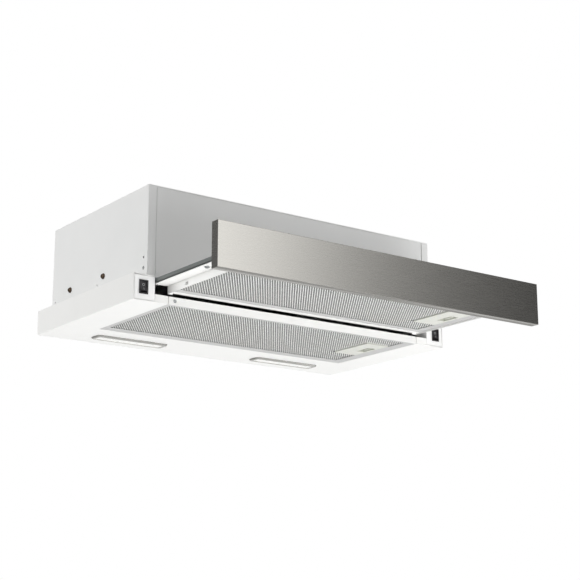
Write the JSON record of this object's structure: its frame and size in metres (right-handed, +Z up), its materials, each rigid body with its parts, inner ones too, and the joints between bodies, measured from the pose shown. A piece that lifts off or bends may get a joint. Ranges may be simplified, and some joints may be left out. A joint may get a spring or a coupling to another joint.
{
  "type": "pull-out range hood",
  "caption": "Slim range hood for a wall cabinet: a flat frame under a sheet steel blower box, with a drawer that pulls out to widen the extraction area behind a brushed steel front.",
  "frame": {"origin": "middle of the underside of the bounding box with the drawer fully out; the lights' trims touch that underside, the frame's underside is 3 mm over it and its front face 44 mm in front of the origin", "axes": "+X to the right as the cook sees it, +Y to the wall, +Z up"},
  "size_m": [0.598, 0.532, 0.225],
  "materials": {
    "white_paint": "satin white powder coat",
    "grey_paint": "satin pale grey paint",
    "brushed_steel": "long horizontal grain",
    "zinc_steel": "zinc plated",
    "bronzed_steel": "yellow passivated, worn",
    "aluminium": "mill finish",
    "white_plastic": "moulded",
    "grey_plastic": "moulded",
    "black_plastic": "moulded",
    "frosted_lens": "frosted"
  },
  "bodies": {
    "body": {"lower_frame": "white_paint", "front_strip": "white_paint", "front_strip_screw": "zinc_steel", "left_side_panel": "grey_paint", "right_side_panel": "grey_paint", "left_side_screw_front": "bronzed_steel", "left_side_screw_rear": "bronzed_steel", "right_side_screw_front": "bronzed_steel", "right_side_screw_rear": "bronzed_steel", "front_panel": "grey_paint", "rear_panel": "grey_paint", "top_panel": "grey_paint", "outlet_collar": "black_plastic", "flap_pin": "zinc_steel", "blower_housing": "zinc_steel", "motor_bracket": "zinc_steel", "motor": "aluminium", "run_capacitor": "white_plastic", "terminal_box": "white_plastic", "terminal_box_lid": "white_plastic", "cable_gland": "black_plastic", "light_driver": "white_plastic", "left_light_housing": "zinc_steel", "left_light_diffuser": "frosted_lens", "right_light_housing": "zinc_steel", "right_light_diffuser": "frosted_lens", "left_switch_block": "white_plastic", "right_switch_block": "white_plastic", "left_rocker_housing": "black_plastic", "right_rocker_housing": "black_plastic", "left_slide_channel": "zinc_steel", "right_slide_channel": "zinc_steel"},
    "drawer": {"drawer_frame": "white_paint", "drawer_cover": "white_paint", "fascia": "brushed_steel", "fascia_stud_left": "zinc_steel", "fascia_stud_right": "zinc_steel", "left_runner": "zinc_steel", "right_runner": "zinc_steel", "left_runner_screw": "zinc_steel", "right_runner_screw": "zinc_steel"},
    "lower_filter": {"lower_filter_frame": "aluminium", "lower_filter_net": "aluminium", "lower_filter_latch_plate": "grey_plastic"},
    "lower_latch": {"lower_filter_latch": "grey_plastic"},
    "drawer_filter": {"drawer_filter_frame": "aluminium", "drawer_filter_net": "aluminium", "drawer_filter_latch_plate": "grey_plastic"},
    "drawer_latch": {"drawer_filter_latch": "grey_plastic"},
    "left_rocker": {"left_rocker": "black_plastic"},
    "right_rocker": {"right_rocker": "black_plastic"},
    "rotor": {"impeller": "white_plastic", "motor_shaft": "zinc_steel"},
    "left_flap": {"left_flap": "grey_plastic"},
    "right_flap": {"right_flap": "grey_plastic"}
  },
  "joints": [
    {"name": "drawer_slide", "type": "slide", "parent": "body", "child": "drawer", "axis": [0, 1, 0], "range_m": [0, 0.2065]},
    {"name": "lower_filter_swing", "type": "hinge", "parent": "body", "child": "lower_filter", "pos_m": [-0.24, 0.064, 0.0034], "axis": [0, -1, 0], "range_deg": [-60, 0]},
    {"name": "lower_latch_slide", "type": "slide", "parent": "lower_filter", "child": "lower_latch", "axis": [1, 0, 0], "range_m": [0, 0.003]},
    {"name": "drawer_filter_swing", "type": "hinge", "parent": "drawer", "child": "drawer_filter", "pos_m": [-0.239, -0.151, 0.0209], "axis": [0, -1, 0], "range_deg": [-35, 0]},
    {"name": "drawer_latch_slide", "type": "slide", "parent": "drawer_filter", "child": "drawer_latch", "axis": [1, 0, 0], "range_m": [0, 0.003]},
    {"name": "left_rocker_tilt", "type": "hinge", "parent": "body", "child": "left_rocker", "pos_m": [-0.2825, -0.0396, 0.023], "axis": [1, 0, 0], "range_deg": [0, 22]},
    {"name": "right_rocker_tilt", "type": "hinge", "parent": "body", "child": "right_rocker", "pos_m": [0.2825, -0.0396, 0.023], "axis": [1, 0, 0], "range_deg": [0, 22]},
    {"name": "impeller_spin", "type": "hinge", "parent": "body", "child": "rotor", "pos_m": [0, 0.146, 0.109], "axis": [1, 0, 0], "continuous": true},
    {"name": "left_flap_swing", "type": "hinge", "parent": "body", "child": "left_flap", "pos_m": [0, 0.146, 0.175], "axis": [0, 1, 0], "range_deg": [0, 55]},
    {"name": "right_flap_swing", "type": "hinge", "parent": "body", "child": "right_flap", "pos_m": [0, 0.146, 0.175], "axis": [0, 1, 0], "range_deg": [-55, 0]}
  ],
  "couplings": [
    {"joint": "right_flap_swing", "follows": "left_flap_swing", "ratio": -1}
  ]
}
